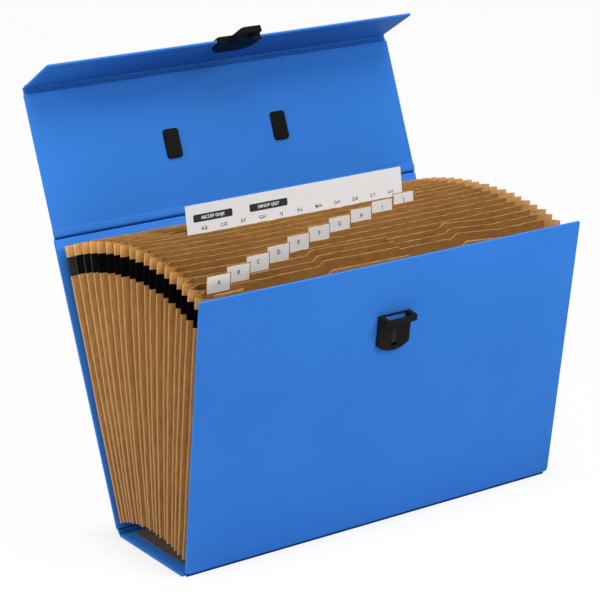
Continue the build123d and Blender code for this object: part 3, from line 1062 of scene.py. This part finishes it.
leaf_shares = (0.0, 0.12, 0.25, 0.36, 0.43, 0.465, 0.485, 0.5, 0.515, 0.535, 0.57, 0.64, 0.75, 0.88, 1.0)
pleat_thickness = 0.45
leaf_rows = 16
leaf_belly = 0.5
fold_forward = 2.5
fold_inward = 3.5
waver_size = 0.6
waver_rates = (5.7, 3.0, 4.0)
set_in_size = 1.8
set_in_rates = (2.9, 7.0, 0.5)
set_in_shift = (11, 0, 0)
tape_rows = 5
tape_lift = 0.16
tape_top = 1 - tape_below_top / sheet_height
tape_foot = tape_top - tape_width / sheet_height
glint_pleats = 4
last = pocket_count - 1


def fold_reach(gap):
    return math.sqrt(leaf_width ** 2 - (gap / 2) ** 2)


def foldedness(share):
    """1 on a pleat's outward fold and 0 at the sheets, for a share of the way between them."""
    return 1 - abs(2 * share - 1)


def rear_half(shares):
    return [share for share in shares if share <= 0.5]


def fore_half(shares):
    return [share for share in shares if share >= 0.5]


def edge_point(number, height):
    """Point on a sheet's end edge, at a height from 0 at its trimmed foot to 1 at its top."""
    top = front_sheet_height if number == pocket_count else sheet_height
    along = foot_trims[number] + (top - foot_trims[number]) * height
    return sheet_feet[number] + up(sheet_leans[number]) * along


def pleat_point(number, share, height, side, lift=0.0):
    """Point on a pleat at a share of the way from one sheet to the next, at a height from 0 to 1."""
    first = edge_point(number, height)
    second = edge_point(number + 1, height)
    gap = (second - first).length
    fold = foldedness(share)
    skew = skew_rise(number + share, side * half_length) * height ** 3
    opened = skew / skew_height * fold
    spot = first.lerp(second, share) + up(0) * skew + frontward(0) * fold_forward * opened
    belly = leaf_belly * math.sin(math.pi * fold)
    waver = waver_size * drift((number, side, height), waver_rates)
    set_in = set_in_size * drift((number, side, 1), set_in_rates, set_in_shift)
    reach = (fold_reach(gap) + waver + set_in) * fold + belly - fold_inward * opened
    x = sheet_width / 2 + gusset_clearance + reach + lift * leaf_width / (gap / 2)
    return Vector((bellows_middle + side * x, spot.y, spot.z)) * MM


def tape_of(number):
    if number == 0:
        return shiny_tape
    return glint_tape if number < glint_pleats else tape


def make_pleat(name, number, shares, side, side_name):
    """Pleat of kraft with its stretch of tape, as one piece."""
    vertices = []
    faces = []
    slots = []
    folds = []
    edges = []
    paper_layer = (0, 0.0, 1.0, leaf_rows, 0.0)
    tape_layer = (1, tape_foot, tape_top, tape_rows, tape_lift)
    for slot, low, high, rows, lift in (paper_layer, tape_layer):
        faces += grid_faces(len(shares), rows, len(vertices))
        slots += [slot] * (len(faces) - len(slots))
        for share in shares:
            for row in range(rows):
                height = low + (high - low) * row / (rows - 1)
                vertices.append(pleat_point(number, share, height, side, lift))
                folds.append(foldedness(share))
                edges.append(max(0.0, height - tape_foot) / (1 - tape_foot))
    paper = leaf if side < 0 else lit_right_leaf
    cloth = tape_of(number)
    piece = add_object(name, vertices, faces, [paper, cloth, kraft_edge, cloth], smooth_angle=40)
    piece.data.polygons.foreach_set("material_index", slots)
    store_values(piece, "fold", folds)
    store_values(piece, "edge", edges)
    thicken(piece, pleat_thickness, rim_slot=2)
    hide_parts(f"gusset_{side_name}", f"gusset_tape_{side_name}")
    return piece


def blend_pocket(piece):
    """Bakes a pocket piece's place into its mesh."""
    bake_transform(piece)


def squash_pocket(piece, holder):
    """Carries a piece of the last pocket with the sheet that holds it, on a mesh of its own."""
    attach(piece, sheet_bodies[holder])
    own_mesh(piece)


for side_name, side in (("left", -1), ("right", 1)):
    for number in range(last):
        piece = make_pleat(f"pleat_{side_name}_{number:02d}", number, leaf_shares, side, side_name)
        blend_pocket(piece)
    rear_name = f"pleat_{side_name}_{last:02d}_rear"
    fore_name = f"pleat_{side_name}_{last:02d}_fore"
    squash_pocket(make_pleat(rear_name, last, rear_half(leaf_shares), side, side_name), last)
    squash_pocket(make_pleat(fore_name, last, fore_half(leaf_shares), side, side_name), last + 1)


# Pocket floors: the kraft folds that close the pockets below

floor_shares = (0.0, 0.25, 0.5, 0.75, 1.0)
floor_thickness = 0.3
floor_sag = 0.5


def pocket_floor(name, number, shares):
    """Floor of a pocket, out to the pleats at both ends, which hangs a little between its sheets."""
    first = edge_point(number, 0.0)
    second = edge_point(number + 1, 0.0)
    columns = [[pleat_point(number, share, 0.0, -1) for share in shares]]
    for x in (bellows_left, bellows_middle, bellows_right):
        sags = [Vector((x, 0, -floor_sag * math.sin(math.pi * share))) for share in shares]
        columns.append([(first.lerp(second, share) + sag) * MM for share, sag in zip(shares, sags)])
    columns.append([pleat_point(number, share, 0.0, 1) for share in shares])
    vertices = [point for column in columns for point in column]
    piece = add_object(name, vertices, grid_faces(len(columns), len(shares)), [kraft])
    thicken(piece, floor_thickness)
    return piece


for number in range(last):
    blend_pocket(pocket_floor(f"pocket_floor_{number:02d}", number, floor_shares))
squash_pocket(pocket_floor(f"pocket_floor_{last:02d}_rear", last, rear_half(floor_shares)), last)
squash_pocket(pocket_floor(f"pocket_floor_{last:02d}_fore", last, fore_half(floor_shares)), last + 1)


# Carried-over solids get the detailed materials

node_materials = {
    "base_liner": liner,
    "catch_body": catch_black,
    "catch_slider": slide_black,
    "catch_rivets": rivet,
    "hasp_tongue": black,
    "hasp_backing": black,
    "hasp_rivets": rivet,
    "handle_backing_plates": black,
    "handle_end_caps": black,
    "handle_grip": black,
    "handle_rivets": rivet,
}
for name, material in node_materials.items():
    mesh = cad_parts[name].data
    mesh.materials.clear()
    mesh.materials.append(material)


# Handle straps

strap_bend_start = 47.5
strap_bend_end = strap_start + 0.5
strap_columns = 15
strap_rows = 5
strap_face = outer_face - strap_low
for side_name, side in (("left", -1), ("right", 1)):
    vertices = []
    for column in range(strap_columns):
        along = strap_start + (strap_end - strap_start) * column / (strap_columns - 1)
        for row in range(strap_rows):
            y = handle_from_crease + strap_width * (row / (strap_rows - 1) - 0.5)
            vertices.append(lid_at(handle_middle + side * along, y, strap_face - strap_thickness / 2))
    faces = grid_faces(strap_columns, strap_rows)
    strap = add_object(f"strap_{side_name}", vertices, faces, [black], smooth_angle=60)
    thicken(strap, strap_thickness)
    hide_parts(f"handle_strap_{side_name}")
    tuple(lid_at(handle_middle + side * strap_bend_start, handle_from_crease, strap_face))
    tuple(lid_at(handle_middle + side * strap_bend_end, handle_from_crease, strap_face))
    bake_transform(strap)


# Floor, light and camera, in metres

floor_half = 6.0
shadow_reach = 0.035
whiteness_at_base = 0.76
open_whiteness = 0.965
ambient = 0.03


def seen_directly(tree):
    """1 where a surface is seen by the camera, in a reflection or through something clear."""
    path = tree.nodes.new("ShaderNodeLightPath")
    seen = math_node(tree, "MAXIMUM", path.outputs["Is Camera Ray"], path.outputs["Is Glossy Ray"])
    return math_node(tree, "MAXIMUM", seen, path.outputs["Is Transmission Ray"])


def distance_past(tree, coordinate, half_size):
    """How far a place lies past the base's edges in one direction."""
    return math_node(tree, "SUBTRACT", math_node(tree, "ABSOLUTE", coordinate), half_size * MM)


def stage_material():
    """Pale floor that the camera sees as white, with the object's shadow kept most close to its base."""
    material, tree, shader = new_material("pale_floor")
    shader.inputs["Base Color"].default_value = (*grey(0.86), 1.0)
    shader.inputs["Roughness"].default_value = 0.9
    glow = add_node(tree, "ShaderNodeEmission", Strength=1.0)
    split = tree.nodes.new("ShaderNodeSeparateXYZ")
    tree.links.new(coordinates(tree), split.inputs["Vector"])
    past_ends = distance_past(tree, split.outputs["X"], half_length)
    past_sides = distance_past(tree, split.outputs["Y"], half_depth)
    whiteness = add_node(
        tree, "ShaderNodeMapRange", From_Max=shadow_reach, To_Min=whiteness_at_base, To_Max=open_whiteness
    )
    tree.links.new(math_node(tree, "MAXIMUM", past_ends, past_sides), whiteness.inputs["Value"])
    share = math_node(tree, "MULTIPLY", seen_directly(tree), whiteness.outputs["Result"])
    mix = tree.nodes.new("ShaderNodeMixShader")
    tree.links.new(share, mix.inputs[0])
    tree.links.new(shader.outputs["BSDF"], mix.inputs[1])
    tree.links.new(glow.outputs["Emission"], mix.inputs[2])
    tree.links.new(mix.outputs["Shader"], tree.nodes["Material Output"].inputs["Surface"])
    return material


floor_corners = [(floor_half * x, floor_half * y, 0) for x, y in ((-1, -1), (1, -1), (1, 1), (-1, 1))]
floor = add_object("floor", floor_corners, [(0, 1, 2, 3)], [stage_material()])

world = bpy.data.worlds.new("studio")
bpy.context.scene.world = world
world.use_nodes = True
sky_tree = world.node_tree
sky = sky_tree.nodes["Background"]
sky.inputs["Color"].default_value = (*grey(1.0), 1.0)
sky_strength = add_node(sky_tree, "ShaderNodeMapRange", To_Min=ambient, To_Max=1.0)
sky_tree.links.new(seen_directly(sky_tree), sky_strength.inputs["Value"])
sky_tree.links.new(sky_strength.outputs["Result"], sky.inputs["Strength"])


def soft_light(name, place, target, size, power):
    """Square lamp of a size in metres and a power in watts, turned to a target."""
    lamp = bpy.data.lights.new(name, "AREA")
    lamp.shape = "RECTANGLE"
    lamp.size = size
    lamp.size_y = size
    lamp.energy = power
    thing = bpy.data.objects.new(name, lamp)
    bpy.context.scene.collection.objects.link(thing)
    direction = Vector(target) - Vector(place)
    turn = direction.to_track_quat("-Z", "Y").to_matrix().to_4x4()
    thing.matrix_world = Matrix.Translation(place) @ turn


soft_light("key", place=(0.38, -1.0, 1.0), target=(0.0, -0.02, 0.25), size=0.5, power=10.0)
soft_light("left", place=(-1.5, 0.0, 0.75), target=(-0.18, 0.0, 0.2), size=1.0, power=14.6)
soft_light("top", place=(0.0, -0.35, 1.7), target=(0.0, 0.0, 0.2), size=1.2, power=21.0)

camera_place = level(-994.9, -1505.5, 733.5)
camera_azimuth = math.radians(-32.58)
camera_elevation = math.radians(16.67)
camera_roll = math.radians(-2.06)
behind = Vector((
    math.sin(camera_azimuth) * math.cos(camera_elevation),
    -math.cos(camera_azimuth) * math.cos(camera_elevation),
    math.sin(camera_elevation),
))
level_right = (-behind).cross(Vector((0, 0, 1))).normalized()
level_up = level_right.cross(-behind)
camera_right = level_right * math.cos(camera_roll) + level_up * math.sin(camera_roll)
camera_up = level_up * math.cos(camera_roll) - level_right * math.sin(camera_roll)
camera_turn = Matrix((camera_right, camera_up, behind)).transposed().to_4x4()
camera_data = bpy.data.cameras.new("camera")
camera_data.sensor_width = 36.0
camera_data.lens = 128.59
camera_data.clip_end = 50.0
camera = bpy.data.objects.new("camera", camera_data)
bpy.context.scene.collection.objects.link(camera)
camera.matrix_world = Matrix.Translation(camera_place) @ camera_turn
bpy.context.scene.camera = camera
bpy.context.scene.view_settings.view_transform = "Standard"
